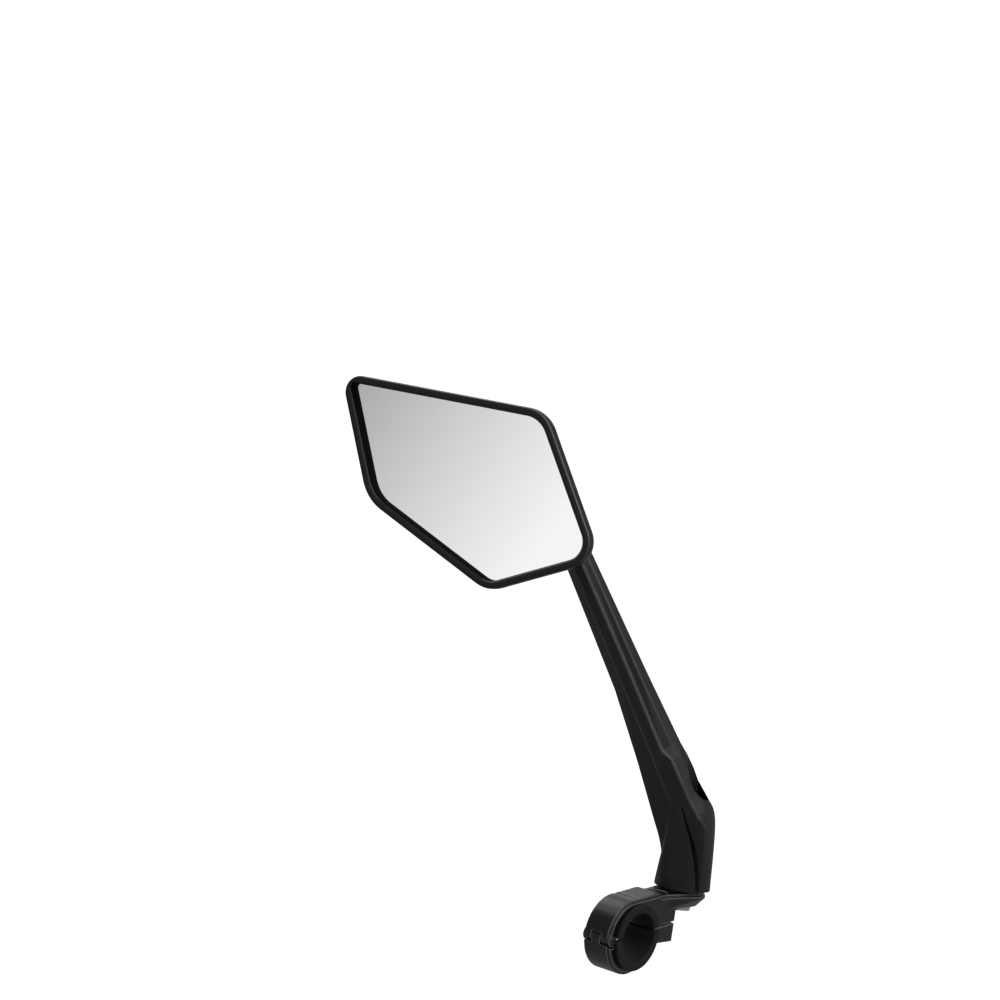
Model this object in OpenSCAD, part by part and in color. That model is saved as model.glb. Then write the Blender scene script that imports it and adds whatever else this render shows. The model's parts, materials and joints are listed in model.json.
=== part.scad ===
// Handlebar mirror for the left side of a bicycle.
// A hinged clamp holds the bar, a faceted arm swivels on the clamp's bridge,
// and a five-sided head turns on a ball stud at the arm's tip.
// The origin lies on the bar's axis. +X runs along the bar towards the middle of
// the bicycle, +Y forwards and +Z up, along the arm's swivel axis. Millimetres.

/* [Bar clamp] */
// Diameter of the handlebar
bar_d = 22.2; // [21:0.1:25.4]
// Thickness of the rubber liner
liner_t = 2; // [1.5:0.1:3]
// Thickness of the liner's side lips
lip_t = 1.8; // [1:0.1:3]
// Height of the liner's side lips over the edge of the band
lip_h = 1.6; // [1:0.1:2]
// Wall of the clamp's band above and below the bar
band_t = 3.5; // [3.2:0.1:5]
// Shift of the band's outside towards the hinge, where the wall is thickest
band_shift = 2.2; // [1.6:0.1:2.6]
// Width of the clamp's band along the bar
band_w = 14.6; // [13:0.1:18]
// Gap between the two halves of the clamp
split_gap = 0.8; // [0.4:0.1:1.6]
// Angle by which the clamp's split and its saddle rise from the hinge to the front
split_rise = 6; // [3:0.5:8]
// Diameter of the hinge pin
hinge_pin_d = 2.5; // [2:0.1:3]
// Wall of the hinge knuckles round the pin
knuckle_t = 1.75; // [1.5:0.05:2]
// Width of the lower half's middle knuckle
knuckle_w = 4.8; // [4:0.1:6]
// Depth of the hinge below the bar's axis
hinge_drop = 0; // [0:0.1:1.5]
// Thickness of the lower half's lug
lug_t = 8; // [7:0.1:10]

/* [Clamp bolt] */
// Nominal diameter of the clamp bolt
clamp_bolt_d = 5; // [4:0.5:5]
// Diameter of the clamp bolt's head
clamp_head_d = 8.5; // [8:0.1:9]
// Height of the clamp bolt's head
clamp_head_h = 5; // [4:0.1:5.5]
// Thickness of the clamp bolt's washer
clamp_washer_t = 1; // [0.6:0.1:1.4]
// Wall between the liner's seat and the clamp bolt's hole
bolt_wall = 4.5; // [4:0.1:6]

/* [Bridge] */
// Distance from the clamp bolt to the arm's swivel axis
bolt_to_pivot = 18.7; // [18.5:0.1:24]
// Rise from the top of the band to the top of the bridge
bridge_rise = 0.4; // [0:0.1:1]
// Radius of the bridge's nose
nose_r = 11; // [9.5:0.1:12]
// Thickness of the bridge at its nose
nose_t = 6.6; // [6.2:0.1:9]
// Narrowing of the nose towards its underside
keel_in = 3.4; // [2.5:0.1:3.6]
// Height of the step along the edges of the band and the bridge
step_h = 1.2; // [0.8:0.1:1.6]
// Width of the step along the edges of the band and the bridge
step_w = 1; // [0.6:0.1:1.6]

/* [Arm pivot] */
// Diameter of the pivot bolt
pivot_bolt_d = 6; // [5:0.5:6]
// Diameter of the pivot bolt's head
pivot_head_d = 10; // [9:0.1:10]
// Height of the pivot bolt's head
pivot_head_h = 6; // [5:0.1:7]
// Room for a key round the pivot bolt's head
key_room = 1.1; // [0.5:0.1:1.4]
// Width across the flats of the lock nuts
nut_af = 10; // [9:0.1:10.4]
// Height of the lock nuts
nut_h = 5.8; // [5:0.1:6.4]
// Thickness of the friction washer under the arm's foot
friction_t = 1; // [0.6:0.1:1.6]
// Thickness of the plain and acetal washers on the pivot bolt
pivot_washer_t = 1; // [0.8:0.1:1.4]
// Wall of the metal bush in the arm
bush_t = 1.5; // [1:0.1:2]
// Height of the solid web at the arm's foot
web_h = 10; // [8:0.5:13]

/* [Arm] */
// Diameter of the arm's foot
foot_d = 25; // [24:0.1:27]
// Height of the barrel above the foot
barrel_h = 34; // [30:0.5:35]
// Radius of the bulge of the barrel's side, seen from the front
bulge_r = 150; // [140:1:200]
// Length of the arm along the strut, from the foot to the ball stud
arm_l = 183; // [170:1:200]
// Lean of the strut from the swivel axis
arm_lean = 33; // [31:0.5:35]
// Turn of the arm about the swivel axis
arm_turn = 22; // [10:1:30]
// Thickness of the strut at its tip
tip_t = 10; // [9:0.1:12]
// Thickness of the strut at the elbow
elbow_t = 20; // [18:0.1:21]
// Thickness of the heel at the foot
heel_t = 16.4; // [15:0.1:18]
// Offset of the strut's middle line from the foot's centre
strut_offset = 16.2; // [15:0.1:17]
// Width of the shadow groove between barrel and heel
groove_w = 1.4; // [0.8:0.1:1.6]
// Depth of the shadow groove
groove_depth = 1.2; // [0.6:0.1:1.4]
// Radius of the eye at the strut's tip
eye_r = 8.2; // [7.8:0.1:9]
// Length of the eye along the ball stud
eye_l = 12; // [11:0.1:14]

/* [Ball joint] */
// Diameter of the ball
ball_d = 13; // [12:0.1:14]
// Diameter of the stud's neck
neck_d = 6.5; // [6:0.1:7]
// Diameter of the stud's threaded shank
shank_d = 6; // [5:0.1:6]
// Distance from the ball's centre to the arm's eye
neck_l = 11; // [10.5:0.1:13]
// Wall of the acetal shell round the ball
ball_liner_t = 1.2; // [0.8:0.1:1.6]
// Wall of the pressure cup at its rim
cup_t = 1.2; // [1:0.1:1.6]
// Thickness of the seat's wave spring
seat_spring_t = 1; // [0.8:0.1:1.4]
// Thickness of the retainer plate
retainer_t = 1.4; // [1:0.1:2]
// Diameter of the retainer screws
retainer_screw_d = 2.5; // [2:0.1:3]
// Number of retainer screws
retainer_screw_n = 3; // [3:1:6]

/* [Mirror head] */
// Turn of the head towards the middle of the bicycle
head_turn = 12; // [5:1:20]
// Upward tilt of the head
head_tilt = 3; // [0:0.5:8]
// Height of the head's top edge above the ball, at its inner corner
head_top = 37.9; // [34:0.1:44]
// Rise of the top edge from its inner corner to its outer corner
top_rise = 1.5; // [0:0.1:4]
// Distance of the top edge's outer corner from the ball
top_out = 98.5; // [88:0.1:105]
// Distance of the top edge's inner corner from the ball
top_in = 8.3; // [6:0.1:16]
// Distance of the inner corner from the ball
inner_x = 45.9; // [42:0.1:54]
// Drop of the inner corner below the ball
inner_drop = 22.1; // [18:0.1:26]
// Distance of the lowest corner from the ball, outwards
low_x = 5.9; // [2:0.1:10]
// Drop of the lowest corner below the ball
low_drop = 45.2; // [42:0.1:50]
// Distance of the outer corner from the ball
outer_x = 74; // [68:0.1:80]
// Drop of the outer corner below the ball
outer_drop = 15.3; // [10:0.1:19]
// Width of the rim round the glass
rim_w = 2.9; // [2.4:0.1:4]
// Draft of the recess between the rim's front and the glass
rim_draft = 0.2; // [0.1:0.1:0.8]
// Depth of the glass behind the rim's front
glass_recess = 3.5; // [2.5:0.1:5]
// Thickness of the glass
glass_t = 2.5; // [2:0.1:3]
// Thickness of the foam pad behind the glass
pad_t = 1; // [0.8:0.1:1.5]
// Wall of the housing's back
shell_t = 2.2; // [1.8:0.1:2.6]

/* [Clearances] */
// Radial clearance of a turning pin or bolt
running = 0.05; // [0.02:0.01:0.08]
// Clearance between curved faces of the ball joint
ball_clear = 0.1; // [0.05:0.01:0.15]
// Clearance between faces that pass each other
free = 0.3; // [0.3:0.05:0.5]
// Clearance of a bolt in its plain hole, and of a nut in its pocket
hole_clear = 0.25; // [0.15:0.05:0.3]
// Clearance between pieces that are set into one another
seat_clear = 0.05; // [0.02:0.01:0.1]

/* [Hidden] */
$fn = 64;
// Reach of cutting shapes past the solid that they cut
over = 1;
// Side of the blocks that stand for half of space
far = 200;

// Clamp
bar_r = bar_d / 2;
seat_r = bar_r + liner_t;
band_r = seat_r + band_t;
pin_r = hinge_pin_d / 2;
pin_wall = 1.3;
knuckle_r = pin_r + knuckle_t;
knuckle_room = knuckle_r + 2.5 * free;
hinge_r = seat_r + pin_wall + pin_r;
hinge_y = -sqrt(hinge_r * hinge_r - hinge_drop * hinge_drop);
liner_r = seat_r - seat_clear;

// Clamp bolt: the thread's core in the tapped lug, and its head's recess in the bridge
clamp_core_r = 0.42 * clamp_bolt_d;
clamp_tap_r = clamp_bolt_d / 2;
clamp_hole_r = clamp_bolt_d / 2 + hole_clear;
clamp_recess_r = clamp_head_d / 2 + 2 * hole_clear;
clamp_sink = 0.5;
bolt_y = seat_r + bolt_wall + clamp_hole_r;
lug_wall = 4;
lug_y = bolt_y + clamp_hole_r + lug_wall;
lug_top = (bolt_y - hinge_y) * tan(split_rise) - hinge_drop;
lug_bottom = lug_top - lug_t;

// Bridge
bridge_top = band_r + bridge_rise;
saddle_wall = 1;
saddle_sink = 0.15;
saddle_l = bolt_y - clamp_recess_r - saddle_wall + band_shift + band_r * sin(split_rise);
pivot_y = bolt_y + bolt_to_pivot;
clamp_floor = bridge_top - clamp_sink - clamp_head_h - clamp_washer_t;
nose_z = bridge_top - nose_t;
// Upright edge of the nose below its step, how far the bridge's sides end inside the nose,
// and the thin slabs that its keel is spanned from
nose_edge = 1.5;
nose_bite = 0.2;
keel_flat = 0.2;

// Pivot: heights of the stack over the arm's foot
pivot_r = pivot_bolt_d / 2;
bush_r = pivot_r + running + bush_t;
foot_z = bridge_top + friction_t;
foot_r = foot_d / 2;
key_bore_r = pivot_head_d / 2 + key_room;
stack_r = pivot_head_d / 2 + 0.2;
spring_h = 1.4;
spring_leaf_t = 0.8;
web_top = foot_z + web_h;
spring_z = web_top + pivot_washer_t;
washer_z = spring_z + spring_h;
pivot_head_z = washer_z + pivot_washer_t;
nut_r = nut_af / sqrt(3);
nut_pocket_h = 3.4;
nut_top = nose_z + nut_pocket_h;

// Strut: its own axes run along the strut (z), away from the spine (x) and to the front (y)
tip_half = tip_t / 2;
elbow_half = elbow_t / 2;
heel_half = heel_t / 2;
groove_h = barrel_h + 3;
heel_x = foot_r + 0.2;

// Ball joint, in the head's frame: the ball's centre is the origin and +z leaves the glass
ball_r = ball_d / 2;
neck_r = neck_d / 2;
shank_r = shank_d / 2;
collar_r = 5.4;
collar_t = 1.6;
shell_in = ball_r + ball_clear;
shell_out = shell_in + ball_liner_t;
socket_r = shell_out + ball_clear;
cup_r = socket_r + cup_t;
pocket_r = cup_r + free;
cup_low = 1.5;
cup_top = socket_r + cup_t;
shell_back = 0.58 * ball_r;
shell_front = 0.62 * ball_r;
lip_back = 0.53 * socket_r;
lip_wall = 1.5;
lip_edge = 0.8;
mouth_r = sqrt(socket_r * socket_r - lip_back * lip_back) - 0.2;
tower_r = pocket_r + 2 * retainer_screw_d + 1.6;
boss_r = socket_r + 2.6;
boss_back = lip_back + lip_wall;
retainer_z = cup_top + seat_spring_t;
retainer_circle = (pocket_r + tower_r) / 2;
retainer_head_r = 0.85 * retainer_screw_d;
retainer_screw_l = 6;
retainer_spare = 0.5;
// Land of the retainer plate over the spring, and of the spring over the cup
retainer_land = 4;
seat_spring_inset = 0.6;
seat_spring_w = 2.8;
seat_spring_r = cup_r - seat_spring_inset;
eye_back = neck_l + eye_l;
eye_web = 4.6;
stud_washer_t = 1;
stud_pocket_r = nut_r + hole_clear + 0.3;
cap_t = 1.2;
seat_top = neck_l + eye_web;

// Head: levels in front of the ball
ledge_z = retainer_z + retainer_t + 0.2;
glass_z = ledge_z + pad_t;
rim_z = glass_z + glass_t + glass_recess;
back_z = cup_low + 1.5;
corners = [
  [-top_out, head_top + top_rise],
  [-outer_x, -outer_drop],
  [-low_x, -low_drop],
  [inner_x, -inner_drop],
  [top_in, head_top]
];
corner_radii = [9, 22, 15, 12, 16];
least_corner_r = 1.5;
// Points on each rounded corner
arc_n = 7;
ledge_w = 3;
bed_inset = rim_w + rim_draft;
// Back of the housing: a flat, a gentle fall to the crest line, then the flank
back_inset = 20;
crest_inset = 12.5;
crest_rise = 1.6;
// Flank and rounded rim: inset from the outline, and depth behind the rim's front
rim_profile = [[6.2, 10.5], [2.6, 8], [0.8, 5.6], [0.1, 4], [0, 1.4], [0.3, 0.5], [1.1, 0]];
// Gap round the foam pad on its ledge
pad_inset = 1;

// Where the pieces lie

// Frame of the hinge: its axis is X, and the split lies in its XY plane
module at_hinge() {
  translate([0, hinge_y, -hinge_drop]) rotate([split_rise, 0, 0]) children();
}

// Frame of the arm: x runs out along the lean, y to the front, z up from the foot
module at_arm() {
  translate([0, pivot_y, foot_z]) rotate([0, 0, 180 + arm_turn]) children();
}

function turn_z(p, a) = [p.x * cos(a) - p.y * sin(a), p.x * sin(a) + p.y * cos(a), p.z];
function turn_y(p, a) = [p.x * cos(a) + p.z * sin(a), p.y, p.z * cos(a) - p.x * sin(a)];
head_axis = [sin(head_turn) * cos(head_tilt), -cos(head_turn) * cos(head_tilt), sin(head_tilt)];
tip_place = turn_z(turn_y([-strut_offset, 0, arm_l], arm_lean), 180 + arm_turn);
ball_place = [0, pivot_y, foot_z] + tip_place + (neck_l + eye_l / 2) * head_axis;

// Frame of the head at the ball's centre: x to the right, y up, z out of the glass
module at_head() {
  translate(ball_place) rotate([90 - head_tilt, 0, head_turn]) children();
}

// Shared shapes

module along_x(r, l) {
  rotate([0, 90, 0]) cylinder(r = r, h = l, center = true);
}

module ring(r_out, r_in, h) {
  difference() {
    cylinder(r = r_out, h = h);
    translate([0, 0, -over]) cylinder(r = r_in, h = h + 2 * over);
  }
}

module hexagon(across_flats, h) {
  cylinder(r = across_flats / sqrt(3), h = h, $fn = 6);
}

// Socket-head screw with its seat at z = 0 and its shank below
module socket_screw(shank_r, shank_l, head_r, head_h) {
  difference() {
    union() {
      translate([0, 0, -shank_l]) cylinder(r = shank_r, h = shank_l);
      cylinder(r = head_r, h = head_h);
    }
    translate([0, 0, 0.45 * head_h]) hexagon(head_r, head_h);
  }
}

// Half of space on one side of the clamp's split: side is 1 above it and -1 below
module split_side(side) {
  at_hinge() translate([-far / 2, -far / 2, side > 0 ? split_gap / 2 : -far - split_gap / 2]) cube(far);
}

// Cylinder round the hinge pin, and the room that a knuckle needs
module hinge_cylinder(r, from_x, to_x) {
  at_hinge() translate([(from_x + to_x) / 2, 0, 0]) along_x(r, to_x - from_x);
}

module outer_knuckles(r, gap) {
  for (side = [-1, 1])
    hinge_cylinder(
      r,
      min(side * (knuckle_w / 2 + free - gap), side * (band_w / 2 + (gap > 0 ? over : 0))),
      max(side * (knuckle_w / 2 + free - gap), side * (band_w / 2 + (gap > 0 ? over : 0)))
    );
}

// Bar clamp

// Plan of the bridge: the lug's width runs out to the nose's widest line
module bridge_plan(inset) {
  half = band_w / 2 - inset;
  wide = nose_r - inset - nose_bite;
  translate([0, pivot_y]) circle(r = nose_r - inset);
  polygon([
    [-half, 0],
    [half, 0],
    [half, bolt_y],
    [wide, pivot_y],
    [-wide, pivot_y],
    [-half, bolt_y]
  ]);
}

// Outside of the band, with a step along both edges
module band() {
  translate([0, -band_shift, 0]) {
    along_x(band_r - step_h, band_w);
    along_x(band_r, band_w - 2 * step_w);
  }
}

// Flat that leaves the top of the band and ends before the clamp bolt, stepped as the band is
module saddle() {
  translate([0, -band_shift, -saddle_sink]) rotate([split_rise, 0, 0]) {
    translate([-band_w / 2, 0, 0]) cube([band_w, saddle_l, band_r - step_h]);
    translate([step_w - band_w / 2, 0, 0]) cube([band_w - 2 * step_w, saddle_l, band_r]);
  }
}

// Bridge from the lug to the nose, whose underside narrows like a keel
module bridge() {
  edge_z = bridge_top - step_h;
  keel_top = edge_z - nose_edge - keel_flat / 2;
  translate([-band_w / 2, 0, lug_bottom]) cube([band_w, lug_y, edge_z - lug_bottom]);
  translate([0, 0, edge_z]) linear_extrude(step_h) bridge_plan(step_w);
  translate([0, 0, edge_z - nose_edge]) linear_extrude(nose_edge) bridge_plan(0);
  hull() {
    translate([0, pivot_y, nose_z]) cylinder(r = nose_r - keel_in, h = keel_flat, $fn = 32);
    translate([0, pivot_y, keel_top]) cylinder(r = nose_r - keel_flat, h = keel_flat, $fn = 32);
    translate([keel_flat - band_w / 2, bolt_y, nose_z])
      cube([band_w - 2 * keel_flat, keel_flat, keel_top + keel_flat - nose_z]);
  }
}

module clamp_upper() {
  color([0.06, 0.06, 0.065])
    difference() {
      union() {
        intersection() {
          union() {
            band();
            saddle();
            bridge();
          }
          split_side(1);
        }
        outer_knuckles(knuckle_r, 0);
      }
      along_x(seat_r, band_w + 2 * over);
      hinge_cylinder(knuckle_room, -knuckle_w / 2 - free, knuckle_w / 2 + free);
      hinge_cylinder(pin_r, -band_w, band_w);
      translate([0, bolt_y, lug_bottom]) cylinder(r = clamp_hole_r, h = far);
      translate([0, bolt_y, clamp_floor]) cylinder(r = clamp_recess_r, h = far);
      translate([0, pivot_y, 0]) cylinder(r = pivot_r + hole_clear, h = far);
      translate([0, pivot_y, nut_top - far]) hexagon(nut_af + 2 * hole_clear, far);
    }
}

module clamp_lower() {
  color([0.06, 0.06, 0.065])
    difference() {
      union() {
        intersection() {
          union() {
            band();
            translate([-band_w / 2, 0, lug_bottom]) cube([band_w, lug_y, 2 * lug_t]);
          }
          split_side(-1);
        }
        hinge_cylinder(knuckle_r, -knuckle_w / 2, knuckle_w / 2);
      }
      along_x(seat_r, band_w + 2 * over);
      outer_knuckles(knuckle_room, free);
      hinge_cylinder(pin_r + running, -band_w, band_w);
      translate([0, bolt_y, lug_bottom - over]) cylinder(r = clamp_tap_r, h = far);
    }
}

module hinge_pin() {
  color([0.2, 0.2, 0.21]) hinge_cylinder(pin_r, -band_w / 2, band_w / 2);
}

module clamp_bolt() {
  color([0.12, 0.12, 0.13])
    translate([0, bolt_y, clamp_floor + clamp_washer_t])
      socket_screw(clamp_core_r, clamp_floor + clamp_washer_t - lug_bottom, clamp_head_d / 2, clamp_head_h);
}

module clamp_bolt_washer() {
  color([0.5, 0.5, 0.52])
    translate([0, bolt_y, clamp_floor])
      ring(clamp_head_d / 2, clamp_core_r + seat_clear, clamp_washer_t);
}

// Rubber sleeve with a lip on each side of the band
module liner_half(side) {
  color([0.03, 0.03, 0.03])
    difference() {
      union() {
        along_x(liner_r, band_w + 2 * lip_t);
        for (end = [-1, 1])
          translate([end * (band_w + lip_t) / 2, 0, 0]) along_x(seat_r + lip_h, lip_t);
      }
      along_x(bar_r, band_w + 2 * lip_t + 2 * over);
      hinge_cylinder(knuckle_room, -band_w / 2, band_w / 2);
      split_side(-side);
      at_hinge() translate([-far / 2, -far / 2, -split_gap]) cube([far, far, 2 * split_gap]);
    }
}

module liner_upper() {
  liner_half(1);
}

module liner_lower() {
  liner_half(-1);
}

// Arm pivot, from the bridge upwards

module friction_washer() {
  color([0.05, 0.05, 0.05])
    translate([0, pivot_y, bridge_top])
      ring(nose_r - step_w, pivot_r + hole_clear, friction_t);
}

module glide_washer() {
  color([0.8, 0.8, 0.76])
    translate([0, pivot_y, web_top]) ring(stack_r, pivot_r + seat_clear, pivot_washer_t);
}

module pivot_spring() {
  color([0.55, 0.56, 0.58])
    translate([0, pivot_y, spring_z])
      rotate_extrude()
        polygon([
          [pivot_r + seat_clear, spring_h - spring_leaf_t],
          [stack_r, 0],
          [stack_r, spring_leaf_t],
          [pivot_r + seat_clear, spring_h]
        ]);
}

module pivot_washer() {
  color([0.6, 0.61, 0.63])
    translate([0, pivot_y, washer_z]) ring(stack_r, pivot_r + seat_clear, pivot_washer_t);
}

module pivot_bolt() {
  color([0.15, 0.15, 0.16])
    translate([0, pivot_y, pivot_head_z])
      socket_screw(pivot_r, pivot_head_z - nut_top + nut_h, pivot_head_d / 2, pivot_head_h);
}

module lock_nut(r_in) {
  difference() {
    hexagon(nut_af, nut_h);
    translate([0, 0, -over]) cylinder(r = r_in, h = nut_h + 2 * over);
  }
}

module pivot_nut() {
  color([0.55, 0.56, 0.58]) translate([0, pivot_y, nut_top - nut_h]) lock_nut(pivot_r);
}

// Arm

// Side of the barrel: a shallow arc that starts upright at the foot
function barrel_r(z) = foot_r - bulge_r + sqrt(bulge_r * bulge_r - z * z);

module barrel(grow, h) {
  steps = 8;
  rotate_extrude()
    polygon(concat(
      [[0, 0]],
      [for (i = [0:steps]) [barrel_r(h * i / steps) + grow, h * i / steps]],
      [[0, h]]
    ));
}

// One section of the strut as ten corners. Its rails are the spine, the ridge above the
// side's upper bevel, the side's two edges and the belly. All lie at height z.
function section(z, spine, ridge, upper, lower, belly, half, ridge_half) =
  let (
    front = [
      [-spine, 0.2 * half],
      [-ridge, ridge_half],
      [-upper, half],
      [-lower, half],
      [-belly, 0.3 * half]
    ]
  )
  [for (p = concat(front, [for (i = [4:-1:0]) [front[i].x, -front[i].y]])) [p.x, p.y, z]];

// A section's corners seen in the arm's frame
function lean_section(s) = [for (p = s) turn_y(p, arm_lean)];

// Half thickness of the strut at a share of its length
function strut_half(k) = elbow_half + (tip_half - elbow_half) * k;

// Foot of the heel, which stands upright behind the barrel
heel_foot = [
  for (p = [
    [-heel_x, 0.25 * heel_half],
    [-heel_x + 1.6, 0.7 * heel_half],
    [-heel_x + 3.2, heel_half],
    [0, heel_half],
    [0.6 * foot_r, 0.3 * heel_half],
    [0.6 * foot_r, -0.3 * heel_half],
    [0, -heel_half],
    [-heel_x + 3.2, -heel_half],
    [-heel_x + 1.6, -0.7 * heel_half],
    [-heel_x, -0.25 * heel_half]
  ]) [p.x, p.y, 0]
];

// The strut's sections from the elbow to the tip. The bevel over the side starts at the jog
// above the key hole, and the belly draws in towards the waist.
c = strut_offset;
elbow_z = 21;
crown_z = 34;
jog_z = 56;
jog_l = 6;
waist_z = 92;
neck_z = 150;
strut = [
  section(elbow_z, c + 9.6, c + 8.3, c + 6.4, c - 3.4, c - 17, elbow_half, 0.6 * elbow_half),
  section(crown_z, c + 10.6, c + 8.6, c + 5.7, c - 3, c - 15, strut_half(0.2), 0.55 * elbow_half),
  section(jog_z - jog_l, c + 10.4, c + 8.4, c + 5.6, c - 2.8, c - 12.6, strut_half(0.32), 0.5 * elbow_half),
  section(jog_z + jog_l, c + 9.1, c + 6.9, c + 2.8, c - 2.7, c - 11.2, strut_half(0.45), 0.5 * elbow_half),
  section(waist_z, c + 8.2, c + 6.7, c + 3, c - 2.6, c - 8.1, strut_half(0.68), strut_half(0.9)),
  section(neck_z, c + 6.8, c + 5.5, c + 2.5, c - 2.3, c - 6.3, strut_half(0.95), 0.7 * tip_half),
  section(arm_l, c + 5.6, c + 4.4, c + 2, c - 2, c - 5.6, tip_half, 0.7 * tip_half)
];

// Skin over rings that have the same number of corners
module skin(rings) {
  n = len(rings[0]);
  last = len(rings) - 1;
  polyhedron(
    points = [for (r = rings) each r],
    faces = concat(
      [[for (i = [n - 1:-1:0]) i]],
      [
        for (k = [0:last - 1], i = [0:n - 1])
          let (a = k * n + i, b = k * n + (i + 1) % n)
            each [[a, b, b + n], [a, b + n, a + n]]
      ],
      [[for (i = [0:n - 1]) last * n + i]]
    ),
    convexity = 6
  );
}

// Curve of the groove in the arm's side view, from the foot to the top of the barrel
function groove_curve(k) = [-0.68 * foot_r + 0.95 * foot_r * k * k, groove_h * k];

module groove() {
  steps = 8;
  left = [for (i = [0:steps]) groove_curve(i / steps)];
  right = [for (i = [steps:-1:0]) groove_curve(i / steps) - [groove_w, 0]];
  intersection() {
    rotate([90, 0, 0]) linear_extrude(far, center = true) polygon(concat(left, right));
    difference() {
      barrel(3 * groove_depth, groove_h);
      translate([0, 0, -over]) barrel(-groove_depth, groove_h + 2 * over);
    }
  }
}

module arm() {
  color([0.045, 0.045, 0.05])
    difference() {
      union() {
        at_arm() barrel(0, barrel_h);
        at_arm() skin(concat([heel_foot], [for (s = strut) lean_section(s)]));
        at_head() translate([0, 0, -eye_back]) cylinder(r = eye_r, h = eye_l);
      }
      at_arm() groove();
      at_arm() translate([0, 0, -over]) cylinder(r = bush_r, h = web_h + 2 * over);
      at_arm() translate([0, 0, web_h]) cylinder(r = key_bore_r, h = far);
      at_head() translate([0, 0, -eye_back - over]) {
        cylinder(r = shank_r + hole_clear, h = eye_l + 2 * over);
        cylinder(r = stud_pocket_r, h = eye_l - eye_web + over);
      }
    }
}

module pivot_bush() {
  color([0.72, 0.6, 0.3])
    at_arm() translate([0, 0, seat_clear]) ring(bush_r, pivot_r + running, web_h - 2 * seat_clear);
}

// Ball joint, all in the head's frame

module ball_stud() {
  color([0.45, 0.46, 0.48])
    at_head() {
      sphere(r = ball_r);
      translate([0, 0, -neck_l]) cylinder(r = neck_r, h = neck_l);
      translate([0, 0, -neck_l]) cylinder(r = collar_r, h = collar_t);
      translate([0, 0, -eye_back + cap_t + seat_clear]) cylinder(r = shank_r, h = eye_l);
    }
}

module stud_washer() {
  color([0.6, 0.61, 0.63])
    at_head() translate([0, 0, -seat_top - stud_washer_t])
      ring(nut_af / 2, shank_r, stud_washer_t);
}

module stud_nut() {
  nut_l = eye_l - eye_web - stud_washer_t - cap_t - seat_clear;
  color([0.55, 0.56, 0.58])
    at_head() translate([0, 0, -seat_top - stud_washer_t - nut_l])
      difference() {
        hexagon(nut_af, nut_l);
        translate([0, 0, -over]) cylinder(r = shank_r, h = nut_l + 2 * over);
      }
}

module stud_cap() {
  color([0.05, 0.05, 0.05])
    at_head() translate([0, 0, -eye_back]) cylinder(r = stud_pocket_r - seat_clear, h = cap_t);
}

module ball_liner() {
  color([0.85, 0.85, 0.82])
    at_head() difference() {
      sphere(r = shell_out);
      sphere(r = shell_in);
      translate([-far / 2, -far / 2, -far - shell_back]) cube(far);
      translate([-far / 2, -far / 2, shell_front]) cube(far);
    }
}

module pressure_cup() {
  color([0.8, 0.8, 0.76])
    at_head() difference() {
      translate([0, 0, cup_low]) cylinder(r = cup_r, h = cup_top - cup_low);
      sphere(r = socket_r);
    }
}

module seat_spring() {
  color([0.55, 0.56, 0.58])
    at_head() translate([0, 0, cup_top]) ring(seat_spring_r, seat_spring_r - seat_spring_w, seat_spring_t);
}

module retainer_places() {
  for (i = [0:retainer_screw_n - 1])
    rotate([0, 0, 90 + 360 * i / retainer_screw_n]) translate([retainer_circle, 0, 0]) children();
}

module retainer_plate() {
  color([0.6, 0.61, 0.63])
    at_head() difference() {
      translate([0, 0, retainer_z]) cylinder(r = tower_r, h = retainer_t);
      translate([0, 0, retainer_z - over]) cylinder(r = cup_r - retainer_land, h = retainer_t + 2 * over);
      retainer_places() translate([0, 0, retainer_z - over])
        cylinder(r = retainer_screw_d / 2 + hole_clear, h = retainer_t + 2 * over);
      retainer_places() translate([0, 0, retainer_z + retainer_t / 2])
        cylinder(r = retainer_head_r + hole_clear, h = retainer_t);
    }
}

module retainer_screws() {
  color([0.3, 0.3, 0.32])
    at_head() retainer_places() translate([0, 0, retainer_z + retainer_t / 2]) {
      cylinder(r = retainer_head_r, h = retainer_t / 2);
      translate([0, 0, -retainer_screw_l]) cylinder(r = retainer_screw_d / 2, h = retainer_screw_l);
    }
}

// Mirror head

function unit(v) = v / norm(v);
function side_of(a, b) = unit([b.y - a.y, a.x - b.x]);

// Corner i of the outline, moved in from both of its edges
function inset_corner(i, inset) =
  let (
    n = len(corners),
    p = corners[i],
    before = -side_of(corners[(i + n - 1) % n], p),
    after = -side_of(p, corners[(i + 1) % n])
  )
  p + inset * (before + after) / (1 + before * after);

// Arc that rounds corner i of the inset outline
function corner_arc(i, inset) =
  let (
    n = len(corners),
    p = inset_corner(i, inset),
    before = -side_of(corners[(i + n - 1) % n], corners[i]),
    after = -side_of(corners[i], corners[(i + 1) % n]),
    r = max(corner_radii[i] - inset, least_corner_r),
    centre = p + r * (before + after) / (1 + before * after),
    from = atan2(-before.y, -before.x),
    step = acos(before * after) / (arc_n - 1)
  )
  [for (k = [0:arc_n - 1]) centre + r * [cos(from + step * k), sin(from + step * k)]];

function outline(inset) = [for (i = [0:len(corners) - 1]) each corner_arc(i, inset)];

// The outline at one height, turned clockwise as the skin's rings are
function level(inset, z) =
  let (o = outline(inset))
    [for (i = [len(o) - 1:-1:0]) [o[i].x, o[i].y, z]];

module plate(inset, z, h) {
  translate([0, 0, z]) linear_extrude(h) polygon(outline(inset));
}

// Outside of the shell, from the back's flat to the rim's front
module shell_outside() {
  skin(concat(
    [level(back_inset, back_z), level(crest_inset, back_z + crest_rise)],
    [for (p = rim_profile) level(p.x, rim_z - p.y)]
  ));
}

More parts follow.
